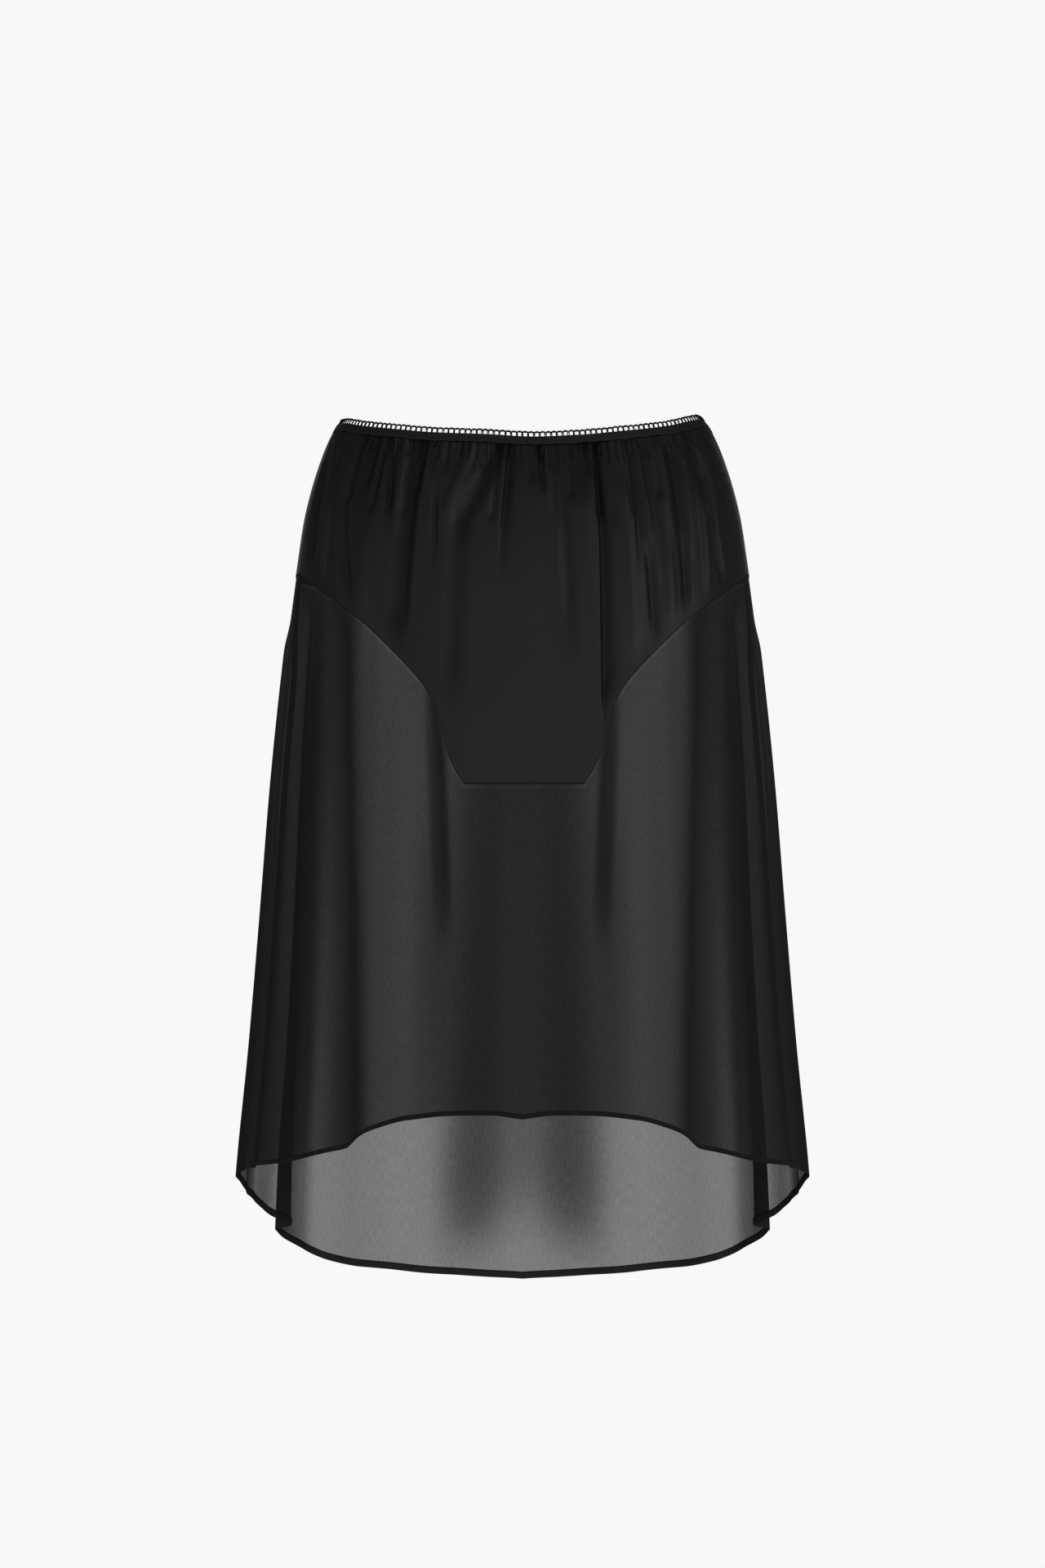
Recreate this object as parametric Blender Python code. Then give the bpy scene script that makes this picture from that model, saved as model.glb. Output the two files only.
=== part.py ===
"""A gathered high-low skirt, held open as it is worn.

A satin yoke hangs from a narrow waist elastic with a picot edge. Its front comes down to a flat tab.
A sheer front panel and a longer sheer back panel are sewn below it. Sizes are in metres, +Z is up,
the front faces -Y, and the origin is the middle of the waist opening, level with its highest part.

Every panel is a wall over one set of rings. A place on it is given by its turn about the Z axis
(0 at the centre front, 90 at the +X side, 180 at the centre back) and by its height z.
"""

import math

import bmesh
import bpy
import numpy as np

MM = 0.001

# Waist trim, from the top edge down
TRIM_HEIGHT = 0.0038
TRIM_WALL = 0.0012
TRIM_CORD = 0.0018
TRIM_CORD_SHOULDER = 0.0006
TRIM_CORD_UNDERSIDE = 0.0016
ELASTIC_HEIGHT = 0.0062
ELASTIC_WALL = 0.0016

# Cloth walls, and the gap that keeps two sewn edges apart
SATIN_WALL = 0.0013
SHEER_WALL = 0.0012
SEAM_GAP = 0.0003
HEM_HEIGHT = 0.0060
HEM_EXTRA = 0.0003
HEM_STEP = 0.0006

FULL_TURN = 360.0
BACK_TURN = 180.0

# The side seams lie in front of the widest point. Columns: height in mm, turn in degrees
SIDE_SEAM = ((-700, 74), (-220, 74), (-130, 79), (0, 81))

# A column of points keeps its place between the seams. It is named by its turn at the waist
WAIST_SEAM_TURN = 81.0

# How square the rings are: 2 is an ellipse
RING_SQUARENESS = 2.3

# Rings of the worn cloth. Columns: height, half width, front depth, back depth, in mm
RINGS = (
    (0, 139.5, 98, 100),
    (-14, 148.5, 102, 104),
    (-32, 156.5, 106, 109),
    (-58, 165.0, 111, 114),
    (-83, 171.0, 115, 119),
    (-109, 175.0, 118, 122),
    (-134, 178.5, 120, 124),
    (-186, 185.0, 123, 128),
    (-288, 194.5, 129, 134),
    (-390, 201.5, 135, 142),
    (-493, 209.0, 143, 151),
    (-590, 217.5, 152, 160),
    (-700, 224.0, 158, 166),
)

# The waist's top edge. Columns: turn in degrees, height in mm
WAIST_EDGE = (
    (-180, -10),
    (-110, -6),
    (-88, -4),
    (-74, -5.5),
    (-61, -10.5),
    (-48, -14.8),
    (-35, -18.3),
    (-14, -20.5),
    (4, -22.4),
    (21, -21),
    (41, -16.4),
    (55, -11.5),
    (70, -4),
    (76, -2.2),
    (90, -4),
    (110, -6),
    (180, -10),
)

# The front yoke's lower seam. Columns: distance from the tab's middle, height, in mm
TAB_OFFSET = 0.0012
FRONT_SEAM = (
    (0, -288),
    (44, -288),
    (48, -283),
    (57, -266),
    (63, -240),
    (73, -218),
    (83, -205),
    (99, -188),
    (122, -166),
    (141, -151),
    (158, -139),
    (174, -125),
)

# The back yoke's lower seam. Columns: turn past the side, height in mm
BACK_SEAM = ((-11, -125), (20, -130), (90, -138))

# The front panel's hem. Columns: distance from the middle, height, in mm
FRONT_HEM = (
    (0, -536),
    (26, -533.2),
    (55, -533.8),
    (85, -537),
    (107, -543.5),
    (117, -547.5),
    (126, -552.5),
    (131, -557),
    (135, -560.5),
    (146, -563.5),
    (176, -572.5),
    (213, -582),
)

# The back panel's hem. Columns: turn past the side, height in mm
BACK_HEM = (
    (-16, -582),
    (-8, -586),
    (-2, -594),
    (0, -598),
    (2, -605.5),
    (4, -610),
    (6, -613.5),
    (8, -618),
    (10, -624),
    (12, -632),
    (15, -639),
    (20, -645),
    (24, -650),
    (27, -658),
    (30, -665),
    (34, -673),
    (38, -679),
    (47, -687),
    (69, -696),
    (90, -701),
)

# Folds. Columns: turn at the upper end, turn at the lower end, upper end, lower end, depth there
# and there, half width there and there. Turns are in degrees and sizes in mm; a depth below 0 is
# a trough. The yoke's folds are uneven, and the panels' folds are the same on the left and right.
FRONT_YOKE_FOLDS = (
    (-72, -70, -46, -122, -1.4, -1.8, 7, 8),
    (-66, -58, -34, -146, -2.0, -2.8, 8, 9),
    (-48, -45, -14, -72, -3.2, -1.2, 5, 8),
    (-41, -40, -26, -176, -3.6, -3.0, 9, 11),
    (-34, -32, -18, -60, -1.6, -0.8, 6, 8),
    (-14, -23, -20, -212, -3.0, -1.8, 9, 11),
    (-4, -5.5, -14, -96, -4.6, -1.6, 5.5, 7),
    (8, 10, -20, -76, -1.4, -0.6, 6, 8),
    (19, 14, -16, -172, -2.4, -1.6, 7, 9),
    (30, 27.5, -14, -218, -4.2, -3.2, 5, 7),
    (40, 42, -50, -176, -1.8, -1.4, 7, 9),
    (59, 54, -24, -160, -3.0, -2.4, 8, 9),
    (64, 66, -44, -146, -3.2, -2.8, 7, 8),
    (-52, -50, -70, -170, 2.0, 2.2, 15, 17),
    (-26, -15, -50, -230, 1.4, 0.8, 14, 26),
    (3, 3, -60, -240, 1.2, 0.8, 20, 30),
    (23, 22, -60, -230, 1.6, 0.8, 12, 20),
    (36, 36, -40, -190, 2.0, 1.6, 12, 14),
    (48, 49, -100, -170, 1.4, 1.4, 10, 12),
    (61, 61, -60, -150, 1.2, 1.4, 8, 9),
)

BACK_YOKE_FOLDS = (
    (97, 98, -24, -116, -2.0, -1.2, 7, 9),
    (112, 110, -16, -90, -2.6, -1.0, 6, 9),
    (127, 129, -18, -132, -3.0, -1.4, 6, 10),
    (143, 141, -30, -100, -1.8, -1.0, 7, 9),
    (158, 160, -16, -134, -3.0, -1.2, 6, 10),
    (176, 174, -20, -110, -2.0, -1.0, 6, 9),
    (191, 193, -16, -136, -3.2, -1.4, 6, 10),
    (206, 204, -34, -96, -1.6, -0.8, 7, 8),
    (222, 220, -18, -124, -2.8, -1.2, 6, 10),
    (240, 241, -16, -104, -2.2, -1.0, 6, 9),
    (259, 258, -26, -118, -2.4, -1.2, 7, 9),
)

FRONT_PANEL_FOLDS = (
    (30.5, 24.3, -180, -390, -3.6, -2.6, 9, 9),
    (43, 27, -130, -640, 5.0, 7.5, 30, 36),
    (58, 43, -130, -640, -3.4, -7.5, 13, 20),
    (62.5, 50.5, -130, -640, 3.0, 5.0, 12, 15),
    (68.5, 61.5, -130, -640, -3.6, -7.0, 12, 17),
    (70, 68, -300, -640, 1.0, 5.0, 10, 14),
)

BACK_PANEL_FOLDS = (
    (89, 88, -170, -700, 2.5, 8.5, 14, 20),
    (97, 99, -300, -740, -0.5, -5.0, 12, 18),
    (103, 106, -140, -740, -7.0, -31.0, 17, 32),
    (113, 116, -200, -740, 1.0, 4.0, 14, 20),
    (127, 130, -150, -740, -4.0, -5.0, 16, 28),
    (141, 143, -220, -740, 2.0, 3.5, 20, 30),
    (152, 153, -140, -740, -3.0, -4.0, 18, 32),
    (165.5, 164.5, -150, -650, -4.0, -6.0, 16, 34),
    (180, 180, -200, -740, 2.5, 4.0, 24, 34),
)

FOLD_FADE = 0.030
SEAM_FADE = 0.034
SIDE_FADE_TURN = 4.0

# Small gathers below the elastic
GATHERS_FRONT = 30
GATHERS_BACK = 32
GATHER_DEPTH = (0.0007, 0.0017)
GATHER_LENGTH = (0.016, 0.062)
GATHER_HALF_WIDTH = (0.0044, 0.0058)
GATHER_FADE = 0.012
GATHER_UNEVENNESS = 0.45
GATHER_LEAN_PER_METRE = (-30.0, 30.0)
GATHER_SEED = 11

# Faces
FINE_STEPS = 1441
EDGE_SEARCH_START = -0.2
EDGE_SEARCH_STEPS = 12
YOKE_ROW_SPREAD = 1.35
FRONT_COLUMNS, FRONT_YOKE_ROWS = 94, 8
BACK_COLUMNS, BACK_YOKE_ROWS = 90, 5
PANEL_ROWS = 8
BAND_COLUMNS = 84
SHARP_EDGE = 60.0

# Colours are linear red, green and blue
SATIN_COLOUR, SATIN_ROUGHNESS = (0.016, 0.016, 0.017), 0.42
SHEER_COLOUR, SHEER_ROUGHNESS = (0.035, 0.034, 0.034), 0.8
ELASTIC_COLOUR, ELASTIC_ROUGHNESS = (0.014, 0.014, 0.015), 0.75
CORD_COLOUR, CORD_ROUGHNESS = (0.018, 0.018, 0.019), 0.6


def clear_scene():
    for old in list(bpy.data.objects):
        bpy.data.objects.remove(old, do_unlink=True)


def curve_through(table, at, column=1):
    """A smooth curve through a table's rows with no overshoot, read at the given places."""
    rows = np.array(sorted(table), float)
    stops, values = rows[:, 0], rows[:, column]
    secants = np.diff(values) / np.diff(stops)
    before, after = secants[:-1], secants[1:]
    product = before * after
    total = np.where(product > 0, before + after, 1.0)
    inner = np.where(product > 0, 2.0 * product / total, 0.0)
    slopes = np.concatenate([secants[:1], inner, secants[-1:]])
    at = np.clip(at, stops[0], stops[-1])
    left = np.clip(np.searchsorted(stops, at) - 1, 0, len(stops) - 2)
    span = stops[left + 1] - stops[left]
    t = (at - stops[left]) / span
    rise = values[left + 1] - values[left]
    bend_in = slopes[left] * span - rise
    bend_out = rise - slopes[left + 1] * span
    return values[left] + rise * t + t * (1 - t) * (bend_in * (1 - t) + bend_out * t)


def ramp(share):
    """0 to 1 with soft ends."""
    share = np.clip(share, 0.0, 1.0)
    return share * share * (3.0 - 2.0 * share)


def ring_sizes(turn, z):
    """Half width and depth of the ring at each height, with the depth of the side it faces."""
    height = z / MM
    half_width = curve_through(RINGS, height, 1) * MM
    front = curve_through(RINGS, height, 2) * MM
    back = curve_through(RINGS, height, 3) * MM
    return half_width, np.where(np.cos(np.radians(turn)) > 0, front, back)


def ring_radius(turn, z):
    half_width, depth = ring_sizes(turn, z)
    across = np.abs(np.sin(np.radians(turn))) / half_width
    along = np.abs(np.cos(np.radians(turn))) / depth
    return (across**RING_SQUARENESS + along**RING_SQUARENESS) ** (-1.0 / RING_SQUARENESS)


def ring_point(turn, z):
    """The point on the plain ring, and the ring's outward direction there."""
    angle = np.radians(turn)
    half_width, depth = ring_sizes(turn, z)
    radius = ring_radius(turn, z)
    x, y = radius * np.sin(angle), -radius * np.cos(angle)
    power = RING_SQUARENESS - 1.0
    out_x = np.sign(x) * (np.abs(x) / half_width) ** power / half_width
    out_y = np.sign(y) * (np.abs(y) / depth) ** power / depth
    length = np.hypot(out_x, out_y)
    return x, y, out_x / length, out_y / length


def millimetres_per_degree(turn, z):
    x, y, out_x, out_y = ring_point(turn, z)
    radius = np.hypot(x, y)
    facing = (x * out_x + y * out_y) / radius
    return math.radians(1.0) * radius / facing / MM


def fold_push(folds, turn, z):
    """How far the folds push the cloth outward at each place, in metres."""
    scale = millimetres_per_degree(turn, z)
    height = z / MM
    push = np.zeros_like(turn)
    for turn_a, turn_b, upper, lower, depth_a, depth_b, wide_a, wide_b in folds:
        share = np.clip((upper - height) / (upper - lower), 0.0, 1.0)
        centre = turn_a + (turn_b - turn_a) * share
        half = wide_a + (wide_b - wide_a) * share
        across = np.clip((turn - centre) * scale / half, -1.0, 1.0)
        fade = ramp((upper * MM - z) / FOLD_FADE + 0.5) * ramp((z - lower * MM) / FOLD_FADE + 0.5)
        depth = depth_a + (depth_b - depth_a) * share
        push += depth * MM * fade * 0.5 * (1.0 + np.cos(math.pi * across))
    return push


def gather_push(count, first, last, seed, turn, z, top):
    """Small uneven troughs that run down from the elastic."""
    random = np.random.default_rng(seed)
    scale = millimetres_per_degree(turn, z)
    step = (last - first) / count
    push = np.zeros_like(turn)
    for number in range(count):
        centre = first + step * (number + 0.5 + GATHER_UNEVENNESS * random.uniform(-1, 1))
        lean = random.uniform(*GATHER_LEAN_PER_METRE)
        depth = random.uniform(*GATHER_DEPTH)
        length = random.uniform(*GATHER_LENGTH)
        half = random.uniform(*GATHER_HALF_WIDTH)
        below = top - z
        across = (turn - centre - lean * below) * scale * MM / half
        fade = 1.0 - ramp((below - length) / GATHER_FADE + 0.5)
        push -= depth * fade * 0.5 * (1.0 + np.cos(math.pi * np.clip(across, -1.0, 1.0)))
    return push


def turn_at(columns, z):
    """The turn of each column at a height, as the side seams swing forward below the hip."""
    seam = curve_through(SIDE_SEAM, z / MM)
    front = columns * seam / WAIST_SEAM_TURN
    share = (columns - BACK_TURN) / (BACK_TURN - WAIST_SEAM_TURN)
    return np.where(columns > WAIST_SEAM_TURN, BACK_TURN + share * (BACK_TURN - seam), front)


def waist_edge(turn, z):
    """Height of the waist's top edge."""
    around = (turn + BACK_TURN) % FULL_TURN - BACK_TURN
    return curve_through(WAIST_EDGE, around) * MM


def yoke_top(turn, z):
    """The yoke starts just below the elastic."""
    return waist_edge(turn, z) - TRIM_HEIGHT - ELASTIC_HEIGHT - 2 * SEAM_GAP


def past_side(turn):
    """Turn past the nearer side, towards the centre back."""
    return np.minimum(turn, FULL_TURN - turn) - 90.0


def front_seam(turn, z):
    x = ring_point(turn, z)[0]
    return curve_through(FRONT_SEAM, np.abs(x - TAB_OFFSET) / MM) * MM


def back_seam(turn, z):
    return curve_through(BACK_SEAM, past_side(turn)) * MM


def front_hem(turn, z):
    x = ring_point(turn, z)[0]
    return curve_through(FRONT_HEM, np.abs(x) / MM) * MM


def back_hem(turn, z):
    return curve_through(BACK_HEM, past_side(turn)) * MM


def edge_height(edge, columns):
    """Where each column crosses an edge whose height depends on the place there."""
    z = np.full_like(columns, EDGE_SEARCH_START)
    for _ in range(EDGE_SEARCH_STEPS):
        z = edge(turn_at(columns, z), z)
    return z


def panel_columns(first, last, count, folds, seam, hem):
    """Columns between two side seams, evenly spaced along the folded hem."""
    gap = side_gap_turn()
    fine = np.linspace(first + gap, last - gap, FINE_STEPS)
    z = edge_height(hem, fine)
    turn = turn_at(fine, z)
    x, y, out_x, out_y = ring_point(turn, z)
    push = panel_push(folds, turn, z, edge_height(seam, fine)) * side_fade(fine)
    steps = np.hypot(np.diff(x + out_x * push), np.diff(y + out_y * push))
    walked = np.concatenate([[0.0], np.cumsum(steps)])
    return np.interp(np.linspace(0.0, walked[-1], count + 1), walked, fine)


def side_gap_turn():
    """Half of the seam gap, as a turn at the narrowest ring."""
    narrowest = RINGS[0][1] * MM
    return math.degrees(0.5 * SEAM_GAP / narrowest)


def new_object(name, vertices, faces, material):
    mesh = bpy.data.meshes.new(name)
    mesh.from_pydata(vertices, [], faces)
    solid = bmesh.new()
    solid.from_mesh(mesh)
    bmesh.ops.recalc_face_normals(solid, faces=solid.faces)
    solid.to_mesh(mesh)
    solid.free()
    mesh.shade_smooth()
    mesh.set_sharp_from_angle(angle=math.radians(SHARP_EDGE))
    mesh.materials.append(material)
    made = bpy.data.objects.new(name, mesh)
    bpy.context.scene.collection.objects.link(made)
    return made


def grid_normals(points, outward):
    """The wall's own outward direction at each point, level with the ring along its four edges."""
    down = np.gradient(points, axis=0)
    along = np.gradient(points, axis=1)
    normal = np.cross(along, down)
    normal /= np.linalg.norm(normal, axis=2, keepdims=True)
    facing = np.sum(normal * outward, axis=2, keepdims=True)
    normal = np.where(facing < 0, -normal, normal)
    edge = np.zeros(points.shape[:2], bool)
    edge[[0, -1], :] = True
    edge[:, [0, -1]] = True
    return np.where(edge[..., None], outward, normal)


def wall_faces(rows, columns):
    """Faces of a wall whose outer and inner grids have rows x columns points each."""

    def corner(layer, row, column):
        return (layer * rows + row) * columns + column

    faces = []
    for row in range(rows - 1):
        for column in range(columns - 1):
            for layer in (0, 1):
                faces.append(
                    (
                        corner(layer, row, column),
                        corner(layer, row, column + 1),
                        corner(layer, row + 1, column + 1),
                        corner(layer, row + 1, column),
                    )
                )
    rim = [(0, column) for column in range(columns)]
    rim += [(row, columns - 1) for row in range(1, rows)]
    rim += [(rows - 1, column) for column in range(columns - 2, -1, -1)]
    rim += [(row, 0) for row in range(rows - 2, 0, -1)]
    for here, there in zip(rim, rim[1:] + rim[:1]):
        faces.append((corner(0, *here), corner(0, *there), corner(1, *there), corner(1, *here)))
    return faces


def cloth_wall(name, turn, heights, push, wall, extra, material):
    """A wall of cloth: its outer grid is the folded ring surface, and its inner one lies behind it."""
    x, y, out_x, out_y = ring_point(turn, heights)
    outward = np.stack([out_x, out_y, np.zeros_like(out_x)], axis=2)
    points = np.stack([x, y, heights], axis=2) + outward * push[..., None]
    normals = grid_normals(points, outward)
    outer = points + normals * extra[:, None, None]
    inner = points - normals * (wall + extra)[:, None, None]
    vertices = np.concatenate([outer.reshape(-1, 3), inner.reshape(-1, 3)])
    return new_object(name, vertices.tolist(), wall_faces(*heights.shape), material)


def half_gap_along(columns, z):
    """How far to raise or lower an edge, so that half the seam gap is left square to it."""
    x, y = ring_point(turn_at(columns, z), z)[:2]
    walked = np.concatenate([[0.0], np.cumsum(np.hypot(np.diff(x), np.diff(y)))])
    slope = np.gradient(z, walked)
    return 0.5 * SEAM_GAP * np.sqrt(1.0 + slope * slope)


def side_fade(columns):
    """Lets folds die away at the side seams, where two panels meet."""
    return ramp(np.minimum(columns - columns[0], columns[-1] - columns) / SIDE_FADE_TURN)


def panel_push(folds, turn, z, seam):
    """The lower panels' folds, the same on the left and right, which start below the seam."""
    near = np.where(turn > BACK_TURN, FULL_TURN - turn, np.abs(turn))
    return fold_push(folds, near, z) * ramp((seam - z) / SEAM_FADE)


def satin_yoke(name, columns, rows, folds, gathers, seed, seam_edge, material):
    """Half of the yoke, from the elastic down to its lower seam, with the gathers of its top edge."""
    top = edge_height(yoke_top, columns)
    seam = edge_height(seam_edge, columns)
    bottom = seam + half_gap_along(columns, seam)
    shares = np.linspace(0.0, 1.0, rows + 1)[:, None] ** YOKE_ROW_SPREAD
    heights = top + (bottom - top) * shares
    turn = turn_at(np.broadcast_to(columns, heights.shape), heights)
    small = gather_push(gathers, turn[0, 0], turn[0, -1], seed, turn, heights, top)
    push = (fold_push(folds, turn, heights) + small) * ramp((heights - seam) / SEAM_FADE)
    extra = np.zeros(rows + 1)
    return cloth_wall(name, turn, heights, push * side_fade(columns), SATIN_WALL, extra, material)


def sheer_panel(name, columns, rows, folds, seam_edge, hem_edge, material):
    """A lower panel, from its seam to its hem, with the turned hem standing proud on both faces."""
    seam = edge_height(seam_edge, columns)
    top = seam - half_gap_along(columns, seam)
    hem = edge_height(hem_edge, columns)
    shares = np.linspace(0.0, 1.0, rows + 1)[:, None]
    body = top + (hem + HEM_HEIGHT + HEM_STEP - top) * shares
    heights = np.concatenate([body, [hem + HEM_HEIGHT], [hem]])
    turn = turn_at(np.broadcast_to(columns, heights.shape), heights)
    push = panel_push(folds, turn, heights, seam) * side_fade(columns)
    extra = np.concatenate([np.zeros(rows + 1), [HEM_EXTRA, HEM_EXTRA]])
    return cloth_wall(name, turn, heights, push, SHEER_WALL, extra, material)


def waist_band(name, profile, material):
    """A closed band round the waist. The profile gives how far out, and how far below the top edge."""
    turns = np.arange(BAND_COLUMNS) * FULL_TURN / BAND_COLUMNS
    edge = waist_edge(turns, 0.0)
    vertices = []
    for out, below in profile:
        x, y, out_x, out_y = ring_point(turns, edge - below)
        vertices += zip(x + out_x * out, y + out_y * out, edge - below)
    faces = []
    for side in range(len(profile)):
        upper = side * BAND_COLUMNS
        lower = (side + 1) % len(profile) * BAND_COLUMNS
        for column in range(BAND_COLUMNS):
            beyond = (column + 1) % BAND_COLUMNS
            faces.append((upper + column, upper + beyond, lower + beyond, lower + column))
    return new_object(name, vertices, faces, material)


def trim_profile():
    """The picot edge: a thin web with a thicker cord along its top."""
    half_web = 0.5 * TRIM_WALL
    half_cord = 0.5 * TRIM_CORD
    middle = -0.5 * SATIN_WALL
    return (
        (middle + half_cord, TRIM_CORD_SHOULDER),
        (middle + half_cord, TRIM_CORD_UNDERSIDE),
        (middle + half_web, TRIM_HEIGHT),
        (middle - half_web, TRIM_HEIGHT),
        (middle - half_cord, TRIM_CORD_UNDERSIDE),
        (middle - half_cord, TRIM_CORD_SHOULDER),
        (middle, 0.0),
    )


def elastic_profile():
    """The flat elastic below the picot edge."""
    top = TRIM_HEIGHT + SEAM_GAP
    bottom = TRIM_HEIGHT + SEAM_GAP + ELASTIC_HEIGHT
    out = 0.5 * (ELASTIC_WALL - SATIN_WALL)
    return ((out, top), (out, bottom), (out - ELASTIC_WALL, bottom), (out - ELASTIC_WALL, top))


def cloth_material(name, colour, roughness):
    material = bpy.data.materials.new(name)
    material.use_nodes = True
    shader = material.node_tree.nodes["Principled BSDF"]
    shader.inputs["Base Color"].default_value = (*colour, 1.0)
    shader.inputs["Roughness"].default_value = roughness
    shader.inputs["Metallic"].default_value = 0.0
    material.diffuse_color = (*colour, 1.0)
    return material


def main():
    clear_scene()
    satin = cloth_material("black_satin", SATIN_COLOUR, SATIN_ROUGHNESS)
    satin_back = cloth_material("black_satin_back", SATIN_COLOUR, SATIN_ROUGHNESS)
    sheer = cloth_material("black_georgette", SHEER_COLOUR, SHEER_ROUGHNESS)
    sheer_back = cloth_material("black_georgette_back", SHEER_COLOUR, SHEER_ROUGHNESS)
    plush = cloth_material("black_elastic", ELASTIC_COLOUR, ELASTIC_ROUGHNESS)
    cord = cloth_material("black_picot", CORD_COLOUR, CORD_ROUGHNESS)

    side = WAIST_SEAM_TURN
    back_side = FULL_TURN - side
    front = panel_columns(-side, side, FRONT_COLUMNS, FRONT_PANEL_FOLDS, front_seam, front_hem)
    back = panel_columns(side, back_side, BACK_COLUMNS, BACK_PANEL_FOLDS, back_seam, back_hem)
    waist_band("picot_trim", trim_profile(), cord)
    waist_band("waist_elastic", elastic_profile(), plush)
    satin_yoke(
        "front_yoke", front, FRONT_YOKE_ROWS, FRONT_YOKE_FOLDS,
        GATHERS_FRONT, GATHER_SEED, front_seam, satin,
    )
    satin_yoke(
        "back_yoke", back, BACK_YOKE_ROWS, BACK_YOKE_FOLDS,
        GATHERS_BACK, GATHER_SEED + 1, back_seam, satin_back,
    )
    sheer_panel(
        "front_panel", front, PANEL_ROWS, FRONT_PANEL_FOLDS, front_seam, front_hem, sheer
    )
    sheer_panel(
        "back_panel", back, PANEL_ROWS, BACK_PANEL_FOLDS, back_seam, back_hem, sheer_back
    )


main()
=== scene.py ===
"""The looks of a gathered high-low skirt: satin yoke, sheer lower panels, picot-edged waist elastic.

The cloth is a set of fine shells over the same rings, seams and folds as the solids. A place on a
shell is given by its turn about the Z axis (0 at the centre front, 90 at the +X side, 180 at the
centre back) and by its height z. Sizes are in metres, +Z is up, and the front faces -Y.
"""

import math

import bpy
import numpy as np
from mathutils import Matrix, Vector


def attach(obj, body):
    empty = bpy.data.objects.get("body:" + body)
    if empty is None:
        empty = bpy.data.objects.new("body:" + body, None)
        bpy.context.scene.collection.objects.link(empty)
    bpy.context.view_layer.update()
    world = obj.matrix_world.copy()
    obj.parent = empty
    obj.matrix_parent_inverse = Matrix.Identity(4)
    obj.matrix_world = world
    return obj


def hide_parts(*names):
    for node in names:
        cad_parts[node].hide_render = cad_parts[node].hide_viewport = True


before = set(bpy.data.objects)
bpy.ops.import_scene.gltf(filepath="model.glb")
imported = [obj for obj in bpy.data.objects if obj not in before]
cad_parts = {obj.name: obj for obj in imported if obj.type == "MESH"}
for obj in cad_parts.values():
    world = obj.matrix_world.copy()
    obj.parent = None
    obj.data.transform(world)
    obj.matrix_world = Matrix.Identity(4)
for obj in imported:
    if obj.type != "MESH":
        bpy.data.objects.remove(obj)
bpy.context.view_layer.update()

MM = 0.001
FULL_TURN = 360.0
BACK_TURN = 180.0
SIDE_TURN = 90.0

# Waist trim, from the top edge down
TRIM_HEIGHT = 0.0038
ELASTIC_HEIGHT = 0.0062
ELASTIC_WALL = 0.0016
SATIN_WALL = 0.0013
SHEER_WALL = 0.0012
SEAM_GAP = 0.0003

# The side seams. Columns: height in mm, turn in degrees
SIDE_SEAM = ((-700, 74), (-220, 74), (-130, 79), (0, 81))
WAIST_SEAM_TURN = 81.0
RING_SQUARENESS = 2.3

# Rings of the worn cloth. Columns: height, half width, front depth, back depth, in mm
RINGS = (
    (0, 139.5, 98, 100),
    (-14, 148.5, 102, 104),
    (-32, 156.5, 106, 109),
    (-58, 165.0, 111, 114),
    (-83, 171.0, 115, 119),
    (-109, 175.0, 118, 122),
    (-134, 178.5, 120, 124),
    (-186, 185.0, 123, 128),
    (-288, 194.5, 129, 134),
    (-390, 201.5, 135, 142),
    (-493, 209.0, 143, 151),
    (-590, 217.5, 152, 160),
    (-700, 224.0, 158, 166),
)

# The waist's top edge. Columns: turn in degrees, height in mm
WAIST_EDGE = (
    (-180, -10),
    (-110, -6),
    (-88, -4),
    (-74, -5.5),
    (-61, -10.5),
    (-48, -14.8),
    (-35, -18.3),
    (-14, -20.5),
    (4, -22.4),
    (21, -21),
    (41, -16.4),
    (55, -11.5),
    (70, -4),
    (76, -2.2),
    (90, -4),
    (110, -6),
    (180, -10),
)

# The front yoke's lower seam. Columns: distance from the tab's middle, height, in mm
TAB_OFFSET = 0.0012
FRONT_SEAM = (
    (0, -288),
    (44, -288),
    (48, -283),
    (57, -266),
    (63, -240),
    (73, -218),
    (83, -205),
    (99, -188),
    (122, -166),
    (141, -151),
    (158, -139),
    (174, -125),
)

# The back yoke's lower seam. Columns: turn past the side, height in mm
BACK_SEAM = ((-11, -125), (20, -130), (90, -138))

# The front panel's hem. Columns: distance from the middle, height, in mm
FRONT_HEM = (
    (0, -536),
    (26, -533.2),
    (55, -533.8),
    (85, -537),
    (107, -543.5),
    (117, -547.5),
    (126, -552.5),
    (131, -557),
    (135, -560.5),
    (146, -563.5),
    (176, -572.5),
    (213, -582),
)

# The back panel's hem. Columns: turn past the side, height in mm
BACK_HEM = (
    (-16, -582),
    (-8, -586),
    (-2, -594),
    (0, -598),
    (2, -605.5),
    (4, -610),
    (6, -613.5),
    (8, -618),
    (10, -624),
    (12, -632),
    (15, -639),
    (20, -645),
    (24, -650),
    (27, -658),
    (30, -665),
    (34, -673),
    (38, -679),
    (47, -687),
    (69, -696),
    (90, -701),
)

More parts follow.
